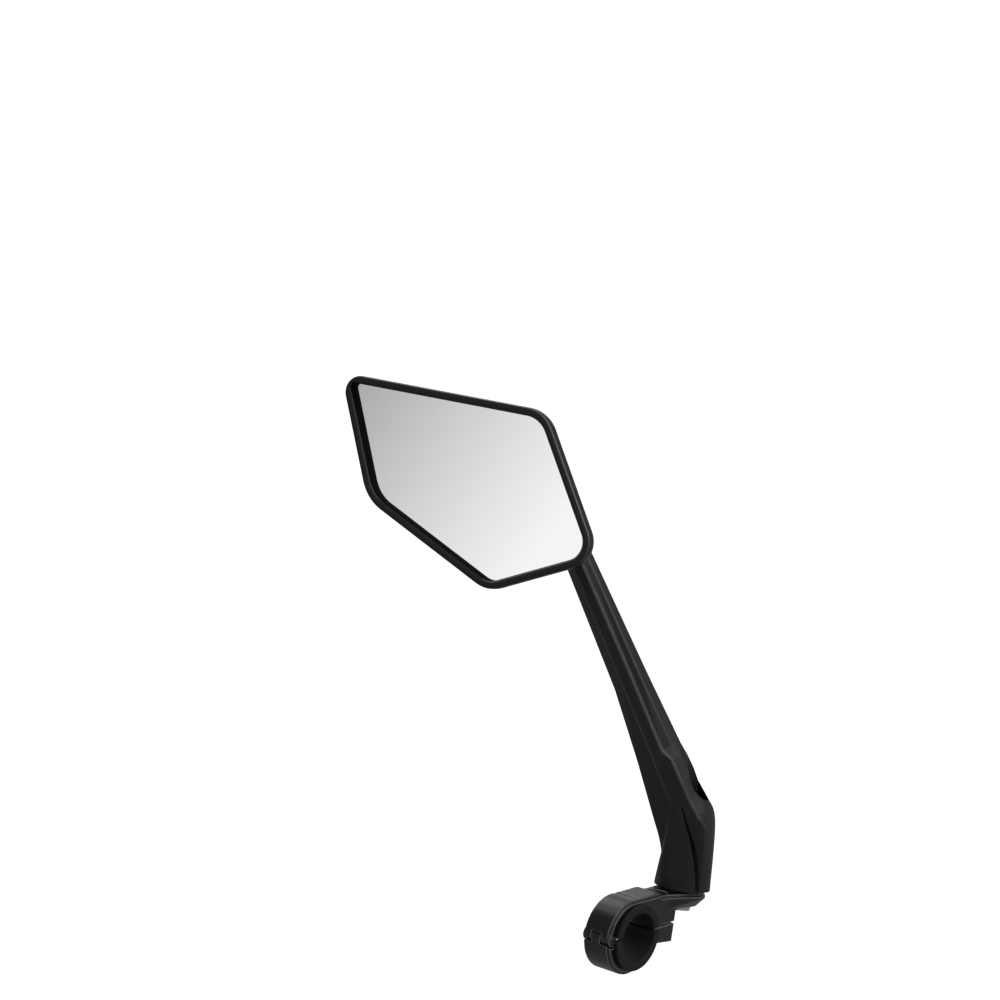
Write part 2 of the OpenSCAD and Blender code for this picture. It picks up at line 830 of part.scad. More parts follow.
module shell_inside() {
  skin([
    level(back_inset, back_z + shell_t),
    level(crest_inset, back_z + crest_rise + shell_t),
    level(bed_inset + ledge_w, ledge_z + over)
  ]);
}

// Recess in the rim, which narrows from the front to the bed of the glass
module rim_recess() {
  skin([
    level(bed_inset, ledge_z),
    level(bed_inset, glass_z + glass_t),
    level(rim_w, rim_z),
    level(rim_w - rim_draft / 2, rim_z + over)
  ]);
}

module mirror_housing() {
  color([0.05, 0.05, 0.055])
    at_head() difference() {
      union() {
        difference() {
          shell_outside();
          shell_inside();
          rim_recess();
        }
        translate([0, 0, back_z]) cylinder(r = tower_r, h = retainer_z - back_z);
        translate([0, 0, -boss_back]) cylinder(r1 = boss_r, r2 = tower_r, h = boss_back + back_z);
      }
      sphere(r = socket_r);
      translate([0, 0, cup_low - free]) cylinder(r = pocket_r, h = far);
      cylinder(r = socket_r, h = cup_low);
      translate([0, 0, -boss_back - over])
        cylinder(r1 = boss_r - lip_edge + over, r2 = mouth_r, h = lip_wall + over);
      retainer_places() translate([0, 0, retainer_z + retainer_t / 2 - retainer_screw_l - retainer_spare])
        cylinder(r = retainer_screw_d / 2, h = far);
    }
}

module glass_pad() {
  color([0.12, 0.12, 0.12]) at_head() plate(bed_inset + pad_inset, ledge_z, pad_t);
}

module mirror_glass() {
  color([0.85, 0.87, 0.88]) at_head() plate(bed_inset + hole_clear, glass_z, glass_t);
}

clamp_upper();
clamp_lower();
hinge_pin();
clamp_bolt();
clamp_bolt_washer();
liner_upper();
liner_lower();
friction_washer();
pivot_bolt();
pivot_washer();
pivot_spring();
glide_washer();
pivot_nut();
arm();
pivot_bush();
ball_stud();
stud_washer();
stud_nut();
stud_cap();
ball_liner();
pressure_cup();
seat_spring();
retainer_plate();
retainer_screws();
mirror_housing();
glass_pad();
mirror_glass();
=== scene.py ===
import json
from math import acos, atan2, cos, pi, radians, sin, sqrt

import bmesh
import bpy
from mathutils import Matrix, Vector


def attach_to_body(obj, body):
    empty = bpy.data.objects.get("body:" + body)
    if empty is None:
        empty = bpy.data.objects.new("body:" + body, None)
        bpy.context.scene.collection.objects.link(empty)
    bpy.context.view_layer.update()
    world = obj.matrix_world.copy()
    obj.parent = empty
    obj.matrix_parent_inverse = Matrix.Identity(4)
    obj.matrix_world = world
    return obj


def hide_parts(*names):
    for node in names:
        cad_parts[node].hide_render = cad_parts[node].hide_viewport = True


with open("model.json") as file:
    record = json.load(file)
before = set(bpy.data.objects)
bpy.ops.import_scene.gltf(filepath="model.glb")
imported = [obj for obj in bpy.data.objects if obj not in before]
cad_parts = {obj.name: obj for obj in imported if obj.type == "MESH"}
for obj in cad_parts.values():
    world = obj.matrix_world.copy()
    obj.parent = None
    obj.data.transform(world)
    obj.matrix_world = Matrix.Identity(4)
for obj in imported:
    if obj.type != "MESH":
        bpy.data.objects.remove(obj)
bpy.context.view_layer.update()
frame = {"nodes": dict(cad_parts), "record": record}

# Lengths are in millimetres until a piece is put in place
MM = 0.001
TO_METRES = Matrix.Scale(MM, 4)

# What the frame says of the nodes and the joints
behaviour = frame["record"]["behaviour"]
BODY_OF = {node: body for body, nodes in behaviour["bodies"].items() for node in nodes}
SLOT_OF = {part["node"]: part["material_slot"] for part in frame["record"]["subparts"]}
JOINT_AT = {joint["name"]: Vector(joint["pos_m"]) / MM for joint in behaviour["joints"] if "pos_m" in joint}

# The arm stands on its swivel and the head on its ball, turned as they are at rest
SWIVEL = JOINT_AT["arm_swivel"]
AT_ARM = Matrix.Translation(SWIVEL) @ Matrix.Rotation(radians(202), 4, "Z")
STRUT_LEAN = Matrix.Rotation(radians(33), 4, "Y")
AT_HEAD = (
    Matrix.Translation(JOINT_AT["head_pan"])
    @ Matrix.Rotation(radians(12), 4, "Z")
    @ Matrix.Rotation(radians(87), 4, "X")
)

# Seats of the two cap screws, under their heads
CLAMP_BOLT_SEAT = Vector((0, 20.35, 11.5))
PIVOT_BOLT_SEAT = SWIVEL + Vector((0, 0, 13.4))


# Shader trees

class Value:
    """A node's output socket; arithmetic on it adds Math nodes."""

    def __init__(self, shader, socket):
        self.shader = shader
        self.socket = socket

    def math(self, operation, a, b):
        return self.shader.node("ShaderNodeMath", {"operation": operation}, {0: a, 1: b})

    def __add__(self, other):
        return self.math("ADD", self, other)

    def __sub__(self, other):
        return self.math("SUBTRACT", self, other)

    def __rsub__(self, other):
        return self.math("SUBTRACT", other, self)

    def __mul__(self, other):
        return self.math("MULTIPLY", self, other)

    __radd__ = __add__
    __rmul__ = __mul__

    def at_least(self, low):
        return self.math("MAXIMUM", self, low)

    def at_most(self, high):
        return self.math("MINIMUM", self, high)

    def between(self, low, high):
        return self.at_least(low).at_most(high)


class Shader:
    """The node tree of a finish, of the floor or of the world."""

    def __init__(self, owner):
        owner.use_nodes = True
        self.tree = owner.node_tree
        self.tree.nodes.clear()

    def node(self, kind, settings=None, sockets=None, out=0):
        """Adds a node and gives one of its outputs, if it has any."""
        node = self.tree.nodes.new(kind)
        for key, value in (settings or {}).items():
            setattr(node, key, value)
        for key, value in (sockets or {}).items():
            if isinstance(value, Value):
                self.tree.links.new(value.socket, node.inputs[key])
            else:
                node.inputs[key].default_value = value
        return Value(self, node.outputs[out]) if node.outputs else None

    def blend(self, share, a, b):
        """Colour between a and b; Mix keeps its colour sockets at 6 and 7 and its colour result at 2."""
        return self.node("ShaderNodeMix", {"data_type": "RGBA"}, {0: share, 6: a, 7: b}, out=2)

    def noise(self, place, scale, detail):
        return self.node("ShaderNodeTexNoise", sockets={"Vector": place, "Scale": scale, "Detail": detail})

    def dot(self, a, b):
        return self.node("ShaderNodeVectorMath", {"operation": "DOT_PRODUCT"}, {0: a, 1: b}, out="Value")

    def rays(self):
        """Whether the camera, a reflection or a clear material is looking."""
        kinds = ("Camera", "Glossy", "Transmission")
        return [self.node("ShaderNodeLightPath", out=f"Is {kind} Ray") for kind in kinds]


# Finishes

# Scales of the noise that all solid finishes share, and the height of their grain
CLOUD_SCALE = 70
SCUFF_SCALE = 420
GRAIN_HEIGHT = 0.15
# Pointiness just above that of a flat face
RIDGE_START = 0.504


def grey(level, warmth=0.0):
    return (level * (1 + warmth), level, level * (1 - warmth), 1)


def finish(name, dark, light, wear_and_highlight_tone, rough, swing, grain, depth, wear=0.5, edge=0.5, ridges=0,
           stretch=(1, 1, 1), specular=0.5, metallic=0.0):
    """A solid finish: cloudy colour, fine grain that also breaks the gloss, and edges paler, partly from wear
    and partly as painted highlight.

    The wear finds sharp edges by their bevel. On a dense mesh, ridges finds rounded edges by their curvature
    and paints them paler, as wear and as painted highlight, and a piece may mark painted highlights of its
    own with an attribute.
    """
    material = bpy.data.materials.new(name)
    shader = Shader(material)
    place = shader.node("ShaderNodeTexCoord", out="Object")
    grain_place = shader.node("ShaderNodeMapping", sockets={"Vector": place, "Scale": stretch})
    cloud = shader.noise(place, CLOUD_SCALE, 4)
    scuff = shader.noise(place, SCUFF_SCALE, 3)
    fine = shader.noise(grain_place, grain, 2)
    rounded = shader.node("ShaderNodeBevel", {"samples": 6}, {"Radius": edge * MM})
    face = shader.node("ShaderNodeNewGeometry", out="Normal")
    bend = shader.node("ShaderNodeNewGeometry", out="Pointiness")
    # Paler edges: wear found by the bevel, wear and painted highlight on ridges found by curvature, and
    # painted highlight where a piece marks it
    marked_highlight = shader.node("ShaderNodeAttribute", {"attribute_name": "painted_highlight"}, out="Fac")
    edges = (1 - shader.dot(rounded, face)) * (8 * wear) + (bend - RIDGE_START) * ridges + marked_highlight
    wear_and_highlight = (edges * (0.4 + scuff)).between(0, 1)
    body = shader.blend(0.7 * cloud + 0.3 * fine, dark, light)
    bumped = shader.node("ShaderNodeBump", sockets={
        "Strength": depth,
        "Distance": GRAIN_HEIGHT * MM,
        "Height": fine,
        "Normal": rounded,
    })
    surface = shader.node("ShaderNodeBsdfPrincipled", sockets={
        "Base Color": shader.blend(wear_and_highlight, body, wear_and_highlight_tone),
        "Roughness": (rough + swing * (0.6 * scuff + 0.4 * cloud - 0.5)).between(0.05, 0.95),
        "Metallic": metallic,
        "Specular IOR Level": specular,
        "Normal": bumped,
    })
    shader.node("ShaderNodeOutputMaterial", sockets={"Surface": surface})
    return material


def silvered_glass():
    """Mirror coating under clear glass, with a faint haze of dust and wiped streaks."""
    material = bpy.data.materials.new("silvered_glass")
    shader = Shader(material)
    place = shader.node("ShaderNodeTexCoord", out="Object")
    streak_place = shader.node("ShaderNodeMapping", sockets={"Vector": place, "Scale": (1, 1, 6)})
    streak = shader.noise(streak_place, 40, 4)
    dust = shader.noise(place, 2600, 2)
    haze = (0.6 * streak + 0.4 * dust).between(0, 1)
    surface = shader.node("ShaderNodeBsdfPrincipled", sockets={
        "Base Color": shader.blend(haze, (0.885, 0.9, 0.9, 1), (0.915, 0.92, 0.92, 1)),
        "Metallic": 1.0,
        "Roughness": 0.008 + 0.012 * haze,
    })
    shader.node("ShaderNodeOutputMaterial", sockets={"Surface": surface})
    return material


# The third colour is that of the pale edges: worn, and painted highlight too on the housing and the alloy; on
# the arm it is painted highlight only
FINISHES = {
    "arm_plastic": finish(
        "grained_nylon", grey(0.01), grey(0.016), grey(0.13), rough=0.46, swing=0.14, grain=3200, depth=0.3,
        wear=0, edge=0.3, specular=0.3),
    "housing_plastic": finish(
        "satin_plastic", grey(0.007), grey(0.011), grey(0.22), rough=0.34, swing=0.12, grain=4200, depth=0.2,
        wear=0.04, specular=0.35),
    "black_alloy": finish(
        "anodised_alloy", grey(0.004), grey(0.007), grey(0.16), rough=0.3, swing=0.14, grain=5200, depth=0.12,
        wear=0.4, edge=0.35, ridges=26),
    "dark_steel": finish(
        "black_oxide", grey(0.05), grey(0.075), grey(0.3), rough=0.36, swing=0.2, grain=2600, depth=0.2,
        wear=0.6, edge=0.25, metallic=1.0),
    "bright_steel": finish(
        "bright_steel", grey(0.5, -0.01), grey(0.6, -0.01), grey(0.72), rough=0.27, swing=0.16, grain=1500,
        depth=0.12, edge=0.25, stretch=(1, 1, 5), metallic=1.0),
    "rubber": finish(
        "matt_rubber", grey(0.006), grey(0.01), grey(0.02), rough=0.68, swing=0.16, grain=2400, depth=0.4,
        wear=0.3, specular=0.3),
    "acetal": finish(
        "natural_acetal", grey(0.58, 0.02), grey(0.68, 0.02), grey(0.74, 0.02), rough=0.42, swing=0.12,
        grain=1800, depth=0.12, wear=0.3, edge=0.25),
    "black_acetal": finish(
        "black_acetal", grey(0.008), grey(0.012), grey(0.03), rough=0.38, swing=0.12, grain=2400, depth=0.15,
        wear=0.3, edge=0.25),
    "brass": finish(
        "turned_brass", (0.55, 0.36, 0.13, 1), (0.66, 0.46, 0.2, 1), (0.78, 0.6, 0.3, 1), rough=0.32,
        swing=0.16, grain=1500, depth=0.14, edge=0.25, stretch=(1, 1, 6), metallic=1.0),
    "foam": finish(
        "closed_cell_foam", grey(0.02), grey(0.05), grey(0.05), rough=0.85, swing=0.1, grain=1900, depth=0.7,
        wear=0.2),
    "silvered_glass": silvered_glass(),
}
# Near-black with hardly any gloss: painted shade, laid on walls where shade falls
PAINTED_SHADE = finish(
    "painted_shade_black", grey(0.002), grey(0.005), grey(0.005), rough=0.8, swing=0.1, grain=3200, depth=0.3,
    wear=0, edge=0.3, specular=0.05)


# Making of the pieces

# Vertices nearer than this are one
SAME_POINT = 1e-4


def placed(name, bm, at=Matrix()):
    """Object at the origin whose mesh lies in place."""
    bmesh.ops.transform(bm, matrix=TO_METRES @ at, verts=bm.verts)
    mesh = bpy.data.meshes.new(name)
    bm.to_mesh(mesh)
    bm.free()
    obj = bpy.data.objects.new(name, mesh)
    bpy.context.scene.collection.objects.link(obj)
    return obj


def close(bm):
    """Merges seams and poles and turns the faces outwards."""
    bmesh.ops.remove_doubles(bm, verts=bm.verts, dist=SAME_POINT)
    bmesh.ops.recalc_face_normals(bm, faces=bm.faces)


def loft(bm, rings, capped=True):
    """Skin over rings with equally many points, closed with caps or by the last ring meeting the first."""
    loops = []
    for ring in rings:
        verts = [bm.verts.new(point) for point in ring]
        loops.append([bm.edges.new(pair) for pair in zip(verts, verts[1:] + verts[:1])])
    for a, b in zip(loops, loops[1:]):
        bmesh.ops.bridge_loops(bm, edges=a + b)
    if capped:
        for end in (loops[0], loops[-1]):
            bmesh.ops.edgeloop_fill(bm, edges=end)
    close(bm)


def turned(bm, profile, steps=72):
    """Solid of revolution about z through (radius, height) points."""
    verts = [bm.verts.new((r, 0, z)) for r, z in profile]
    edges = [bm.edges.new(pair) for pair in zip(verts, verts[1:])]
    bmesh.ops.spin(
        bm, geom=verts + edges, cent=(0, 0, 0), axis=(0, 0, 1), angle=2 * pi, steps=steps, use_merge=True)
    close(bm)


def lathed(name, profile, at, steps=72):
    bm = bmesh.new()
    turned(bm, profile, steps)
    return placed(name, bm, at)


def drill(name, radius, start, end, at, steps=72):
    return lathed(name, [(0, start), (radius, start), (radius, end), (0, end)], at, steps)


def block(name, size, at):
    bm = bmesh.new()
    bmesh.ops.create_cube(bm, size=size)
    return placed(name, bm, at)


def settle(obj):
    """Makes what the modifiers show the object's own mesh."""
    graph = bpy.context.evaluated_depsgraph_get()
    mesh = bpy.data.meshes.new_from_object(obj.evaluated_get(graph))
    obj.modifiers.clear()
    obj.data = mesh


def carve(obj, tools, operation="DIFFERENCE"):
    for tool in tools:
        cut = obj.modifiers.new("carve", "BOOLEAN")
        cut.operation = operation
        cut.solver = "MANIFOLD"
        cut.object = tool
    settle(obj)
    for tool in tools:
        bpy.data.objects.remove(tool)


def soften(obj, voxel, passes):
    """Joins overlapping shells to one skin and rounds its edges as a mould does."""
    skin = obj.modifiers.new("skin", "REMESH")
    skin.mode = "VOXEL"
    skin.voxel_size = voxel * MM
    rounding = obj.modifiers.new("rounding", "SMOOTH")
    rounding.factor = 0.5
    rounding.iterations = passes
    settle(obj)


def attach(obj, node, material, sharp=32):
    """The piece moves with the node and takes the given finish."""
    obj.data.materials.clear()
    obj.data.materials.append(material)
    for face in obj.data.polygons:
        face.use_smooth = True
    obj.data.set_sharp_from_angle(angle=radians(sharp))
    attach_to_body(obj, BODY_OF[node])


def dress(obj, node, sharp=32):
    """The piece takes its node's place, body and finish."""
    attach(obj, node, FINISHES[SLOT_OF[node]], sharp)
    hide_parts(node)


def eased(points, steps):
    """Points on a smooth curve through the given ones."""
    points = [Vector(p) for p in points]
    points = [2 * points[0] - points[1]] + points + [2 * points[-1] - points[-2]]
    curve = []
    for a, b, c, d in zip(points, points[1:], points[2:], points[3:]):
        squared = 2 * a - 5 * b + 4 * c - d
        cubed = 3 * b - a - 3 * c + d
        for k in range(steps):
            t = k / steps
            curve.append(0.5 * (2 * b + (c - a) * t + squared * t ** 2 + cubed * t ** 3))
    return curve + [points[-2]]


# Mirror head, about the ball's centre with z to the front

CORNERS = [Vector(p) for p in ((-98.2, 39.4), (-73.7, -15.3), (-5.7, -45.2), (45.9, -22.1), (8.3, 37.9))]
CORNER_R = (7.5, 22, 15, 12, 16)
# How much faster than its edges a corner tightens inwards, and how far
CORNER_SHRINK = (1.6, 1, 1, 1, 1)
CORNER_R_MIN = 1.5
ARC_POINTS = 14

GLASS_FRONT = 15.2
# The rim's middle line, where its rounded edges start, and where each ends
RIM_MIDDLE = 2
RIM_EDGES_START = 18.5
RIM_OUTER_EDGE_END = 19
RIM_INNER_EDGE_END = 19.15

# Room for the ball's liner, and the retainer's three screws
BALL_ROOM_R = 7.9
SCREW_CIRCLE_R = 12.7
SCREW_HOLE_R = 1.25


def inward(a, b):
    """Direction from the edge between two corners into the head."""
    along = (b - a).normalized()
    return Vector((-along.y, along.x))


def outline(inset, z):
    """The head's outline with rounded corners, moved in from its edges, at one height."""
    ring = []
    for i, corner in enumerate(CORNERS):
        before = inward(CORNERS[i - 1], corner)
        after = inward(corner, CORNERS[(i + 1) % len(CORNERS)])
        r = max(CORNER_R[i] - CORNER_SHRINK[i] * inset, CORNER_R_MIN)
        centre = corner + (inset + r) * (before + after) / (1 + before.dot(after))
        start = atan2(-before.y, -before.x)
        sweep = acos(before.dot(after))
        for k in range(ARC_POINTS):
            a = start + sweep * k / (ARC_POINTS - 1)
            ring.append((centre.x + r * cos(a), centre.y + r * sin(a), z))
    return ring


def outlines(profile):
    return [outline(inset, z) for inset, z in profile]


def paint_rim_highlights(obj):
    """Paints highlights on the rim's rounded edges: the outer one at the side and the top, the inner one
    below.
    """
    middle = [Vector(point).xy for point in outline(RIM_MIDDLE, 0)]
    to_head = (TO_METRES @ AT_HEAD).inverted()
    field = obj.data.attributes.new("painted_highlight", "FLOAT", "POINT")
    for vert, mark in zip(obj.data.vertices, field.data):
        point = to_head @ vert.co
        if not RIM_EDGES_START < point.z < RIM_INNER_EDGE_END:
            continue
        near = min(range(len(middle)), key=lambda k: (middle[k] - point.xy).length_squared)
        way = (middle[(near + 1) % len(middle)] - middle[near - 1]).normalized()
        outside = (point.xy - middle[near]).dot(Vector((way.y, -way.x))) > 0
        if not outside:
            mark.value = max(1.1 * (way.x + way.y) - 0.6, 0)
        elif point.z < RIM_OUTER_EDGE_END:
            mark.value = max(0.5 * way.y - 0.4 * way.x, 0)


def ball_boss():
    """Round boss at the back that holds the ball joint."""
    foot = [(0, -5.69), (9.95, -5.69), (10.35, -5.55), (10.6, -5.2)]
    top = [(15.7, 2.6), (16, 3.2), (16, 10.1), (0, 10.1)]
    return lathed("boss", foot + top, AT_HEAD)


def ball_room():
    """What is cut out for the ball joint: a flared mouth, a round seat and a bore to the front."""
    mouth = [(0, -6.69), (10.7, -6.69), (6.7, -4.19)]
    seat = [(sqrt(BALL_ROOM_R ** 2 - z * z), z) for z in (-4.1, -3.2, -2.2, -1.1, 0)]
    bore = [(BALL_ROOM_R, 1.2), (9.4, 1.2), (9.4, 40), (0, 40)]
    return lathed("socket", mouth + seat + bore, AT_HEAD)


def screw_hole(turn):
    at = AT_HEAD @ Matrix.Rotation(radians(turn), 4, "Z") @ Matrix.Translation((SCREW_CIRCLE_R, 0, 0))
    return drill("screw_hole", SCREW_HOLE_R, 4.3, 14, at, 24)


def mirror_housing():
    back = [(20, 3), (13.4, 4.42)]
    flank = eased([(12.5, 4.6), (6.2, 8.2), (2.6, 10.7), (0.8, 13.1), (0.1, 14.9), (0, 17.8)], 5)
    outer_edge = [(0.02, 18.05), (0.1, 18.4), (0.24, 18.7), (0.45, 18.95), (0.72, 19.1), (1.05, 19.16)]
    inner_edge = [(2.75, 19.2), (3.05, 19.13), (3.3, 18.97), (3.47, 18.75), (3.55, 18.45)]
    recess = [(3.65, GLASS_FRONT), (3.65, 11.7), (6.1, 11.66)]
    inside = [(12.5, 6.8), (20, 5.2)]
    bm = bmesh.new()
    loft(bm, outlines(back + flank + outer_edge + inner_edge + recess + inside))
    shell = placed("mirror_housing_shell", bm, AT_HEAD)
    carve(shell, [ball_boss()], "UNION")
    carve(shell, [ball_room()] + [screw_hole(turn) for turn in (90, 210, 330)])
    paint_rim_highlights(shell)
    dress(shell, "mirror_housing")


def mirror_glass():
    bm = bmesh.new()
    loft(bm, outlines([(3.9, 12.7), (3.7, 12.9), (3.7, GLASS_FRONT - 0.1), (3.8, GLASS_FRONT)]))
    dress(placed("mirror_glass_plate", bm, AT_HEAD), "mirror_glass", 12)


def recess_wall_shade():
    """Thin strip of painted shade on the wall of the recess, from the glass to the rim's rounded inner edge.
    """
    strip = [(3.45, 15.1), (3.45, 18.38), (3.6, 18.4), (3.75, 18.3), (3.75, 15.12)]
    bm = bmesh.new()
    loft(bm, outlines(strip + strip[:1]), capped=False)
    attach(placed("mirror_recess_painted_shade", bm, AT_HEAD), "mirror_housing", PAINTED_SHADE)


# Arm, about the swivel's axis with its foot at z 0 and the strut leaning towards x

# From the foot to the head: height, then the spine, ridge, upper, lower and belly lines and the half widths
STRUT = [
    (21, 25.8, 24.9, 22.6, 12.8, -0.8, 10, 6),
    (34, 26.8, 25.7, 21.9, 13.2, 1.2, 9, 5.5),
    (53.4, 26.3, 25.3, 21.7, 13.4, 3.9, 8.3, 5),
    (58.6, 25.7, 23.5, 19.1, 13.5, 4.6, 7.9, 5),
    (92, 24.4, 22.9, 19.2, 13.6, 8.1, 6.6, 5.5),
    (150, 23, 21.7, 18.7, 13.9, 9.9, 5.25, 3.5),
    (183, 21.8, 20.6, 18.2, 14.2, 10.6, 5, 3.5),
]
# Half widths of the spine's and the belly's flats, as shares of the strut's
SPINE_SHARE = 0.2
BELLY_SHARE = 0.3
HEEL_FOOT = [(-12.7, 2.05), (-11.1, 5.74), (-9.5, 8.2), (0, 8.2), (7.5, 2.46)]
# Share of each edge that its rounded ends take up: in the heel, at its top, and along the strut
HEEL_EASE = (0.6, 0.9, 0.9, 0.1, 0.3)
HEEL_TOP_EASE = (0.4, 0.5, 0.3, 0.1, 0.2)
STRUT_EASE = (0.1,) * 5
# Where the upper ridge runs out on the heel's rounding
RIDGE_END = [Vector(p) for p in ((-23.3, 5.5, 17.7), (-23.45, 7.65, 20), (-22.9, 9.4, 25))]

# Barrel: its foot, how far it is drawn down before it is cut off flat, and its top
FOOT_R = 12.5
UNDER_FOOT = 4
BARREL_TOP = 37
BARREL_HEIGHTS = (-UNDER_FOOT, 0, 5, 10, 15, 20, 25, 29, 32, 34.5, BARREL_TOP)
# Curve of its side, its hollow towards the lean, and how it narrows: across, and at the heel from a height
BULGE_R = 150
HOLLOW_DEPTH = 1.3
HOLLOW_H = 32
SIDE_TAPER = 0.09
HEEL_TAPER = 0.08
HEEL_TAPER_START = 25

# Middle of the groove in the side view, and its width
GROOVE = [
    (-9, -1, 1.2), (-8.9, 2.4, 1.4), (-7.9, 8.9, 1.7), (-6.2, 15.9, 1.9), (-4, 22.2, 1.9), (-1.6, 27.3, 1.6),
    (0.8, 32, 1.1), (2.9, 36.6, 0.5),
]
# Depth of the groove for its width, and how far its cutter stands out
GROOVE_DEPTH_SHARE = 1.3
GROOVE_CUTTER_OUT = 8

# Bores for the bush and the key, and the skin of painted shade in the key's bore, which ends a little past
# its middle
BUSH_BORE_R = 4.55
KEY_BORE_R = 6.1
SHADE_SKIN_GAP = 0.05
SHADE_SKIN_WALL = 0.2
SHADE_SKIN_SPAN = (12, 70)
SHADE_SKIN_EDGE = 0.5
# Side of the blocks that cut off all on one side of a plane
BLOCK = 140


def strut_corners(z, spine, ridge, upper, lower, belly, half, ridge_half):
    """The section's corners on one side, from the spine to the belly."""
    corners = [
        (-spine, SPINE_SHARE * half), (-ridge, ridge_half), (-upper, half), (-lower, half),
        (-belly, BELLY_SHARE * half),
    ]
    return [Vector((x, y, z)) for x, y in corners]


def section(corners, ease, steps=4):
    """Ring through both sides' corners, each rounded."""
    corners = corners + [Vector((c.x, -c.y, c.z)) for c in reversed(corners)]
    ring = []
    for i, corner in enumerate(corners):
        share = (ease + ease[::-1])[i] / 2
        start = corner.lerp(corners[i - 1], share)
        end = corner.lerp(corners[(i + 1) % len(corners)], share)
        for k in range(steps + 1):
            t = k / steps
            ring.append(start.lerp(corner, t).lerp(corner.lerp(end, t), t))
    return ring


def strut_rings():
    """Foot, heel and strut; the heel's rings lie on smooth curves."""
    foot = [section([Vector((x, y, z)) for x, y in HEEL_FOOT], HEEL_EASE) for z in (-UNDER_FOOT, 0)]
    eases = [HEEL_EASE, HEEL_TOP_EASE] + [STRUT_EASE] * (len(STRUT) - 2)
    upright = [section(strut_corners(*station), ease) for station, ease in zip(STRUT, eases)]
    leaning = [[STRUT_LEAN @ point for point in ring] for ring in upright]
    curves = [eased(points, 5) for points in zip(*foot, *leaning[:3])]
    return [list(ring) for ring in zip(*curves)] + leaning[3:]


def highlight_lines():
    """Pieces of the strut's ridges that get a painted highlight: two ends, how bright each is painted, and
    how wide.
    """
    _, ridge, upper, lower, _ = zip(*(strut_corners(*station) for station in STRUT))
    lines = [
        (lower[1:], [0.35, 0.6, 0.65, 0.7, 0.7, 0.7], 0.75),
        (RIDGE_END + list(upper[1:]), [0, 0.35, 0.75, 1, 1.2, 1.5, 1.6, 1.6, 1.6], 1),
        (ridge[3:], [0.3, 0.7, 0.7, 0.6], 0.75),
    ]
    return [
        (a, b, shine_a, shine_b, reach)
        for points, shines, reach in lines
        for a, b, shine_a, shine_b in zip(points, points[1:], shines, shines[1:])
    ]


def paint_ridge_highlights(obj):
    """Paints highlights on the skin along the ridges."""
    lines = highlight_lines()
    to_strut = (TO_METRES @ AT_ARM @ STRUT_LEAN).inverted()
    field = obj.data.attributes.new("painted_highlight", "FLOAT", "POINT")
    for vert, mark in zip(obj.data.vertices, field.data):
        point = to_strut @ vert.co
        point.y = abs(point.y)
        for a, b, shine_a, shine_b, reach in lines:
            if a.z - reach < point.z < b.z + reach:
                t = min(max((point - a).dot(b - a) / (b - a).length_squared, 0), 1)
                off = (point - a.lerp(b, t)).length
                mark.value = max(mark.value, (shine_a + (shine_b - shine_a) * t) * (1 - off / reach))


def barrel_radii(z):
    """Half widths of the barrel: towards the heel, towards the lean, and across."""
    bulge = FOOT_R - BULGE_R + sqrt(BULGE_R ** 2 - z * z)
    heel = bulge - HEEL_TAPER * max(z - HEEL_TAPER_START, 0)
    lean = bulge - HOLLOW_DEPTH * sin(pi * z / HOLLOW_H)
    return heel, lean, FOOT_R - SIDE_TAPER * z


def barrel_ring(z, steps=96):
    """Round at the foot; higher up, the side of the lean squares off to meet the strut's flat face."""
    heel, lean, across = barrel_radii(max(z, 0))
    power = 2 / (2 + 4 * max(z, 0) / BARREL_TOP)
    ring = []
    for k in range(steps):
        c, s = cos(2 * pi * k / steps), sin(2 * pi * k / steps)
        if c > 0:
            side = 1 if s > 0 else -1
            ring.append((lean * c ** power, side * across * abs(s) ** power, z))
        else:
            ring.append((heel * c, across * s, z))
    return ring


def groove_cutter(side):
    rings = []
    for x, z, width in eased(GROOVE, 4):
        heel, _, across = barrel_radii(z)
        surface = across * sqrt(1 - (x / heel) ** 2)
        left, right = x - width / 2, x + width / 2
        outer = side * (surface + GROOVE_CUTTER_OUT)
        bottom = side * (surface - GROOVE_DEPTH_SHARE * width)
        rings.append([(left, outer, z), (right, outer, z), (right, bottom, z), (left, bottom, z)])
    bm = bmesh.new()
    loft(bm, rings)
    return placed("groove", bm, AT_ARM)


def bore_shade_skin(body):
    """Skin of painted shade on the heel side of the key's bore, only where the arm is solid round it."""
    outer = KEY_BORE_R - SHADE_SKIN_GAP
    inner = outer - SHADE_SKIN_WALL
    low, high = SHADE_SKIN_SPAN
    wall = [(inner, low), (outer, low), (outer, high), (inner, high), (inner, low)]
    shade_skin = lathed("arm_bore_painted_shade", wall, AT_ARM)
    to_heel = Matrix.Translation((SHADE_SKIN_EDGE - BLOCK / 2, 0, 0))
    carve(shade_skin, [block("heel_side", BLOCK, AT_ARM @ to_heel)], "INTERSECT")
    inside = body.copy()
    inside.data = body.data.copy()
    bpy.context.scene.collection.objects.link(inside)
    carve(shade_skin, [inside], "INTERSECT")
    attach(shade_skin, "arm", PAINTED_SHADE)


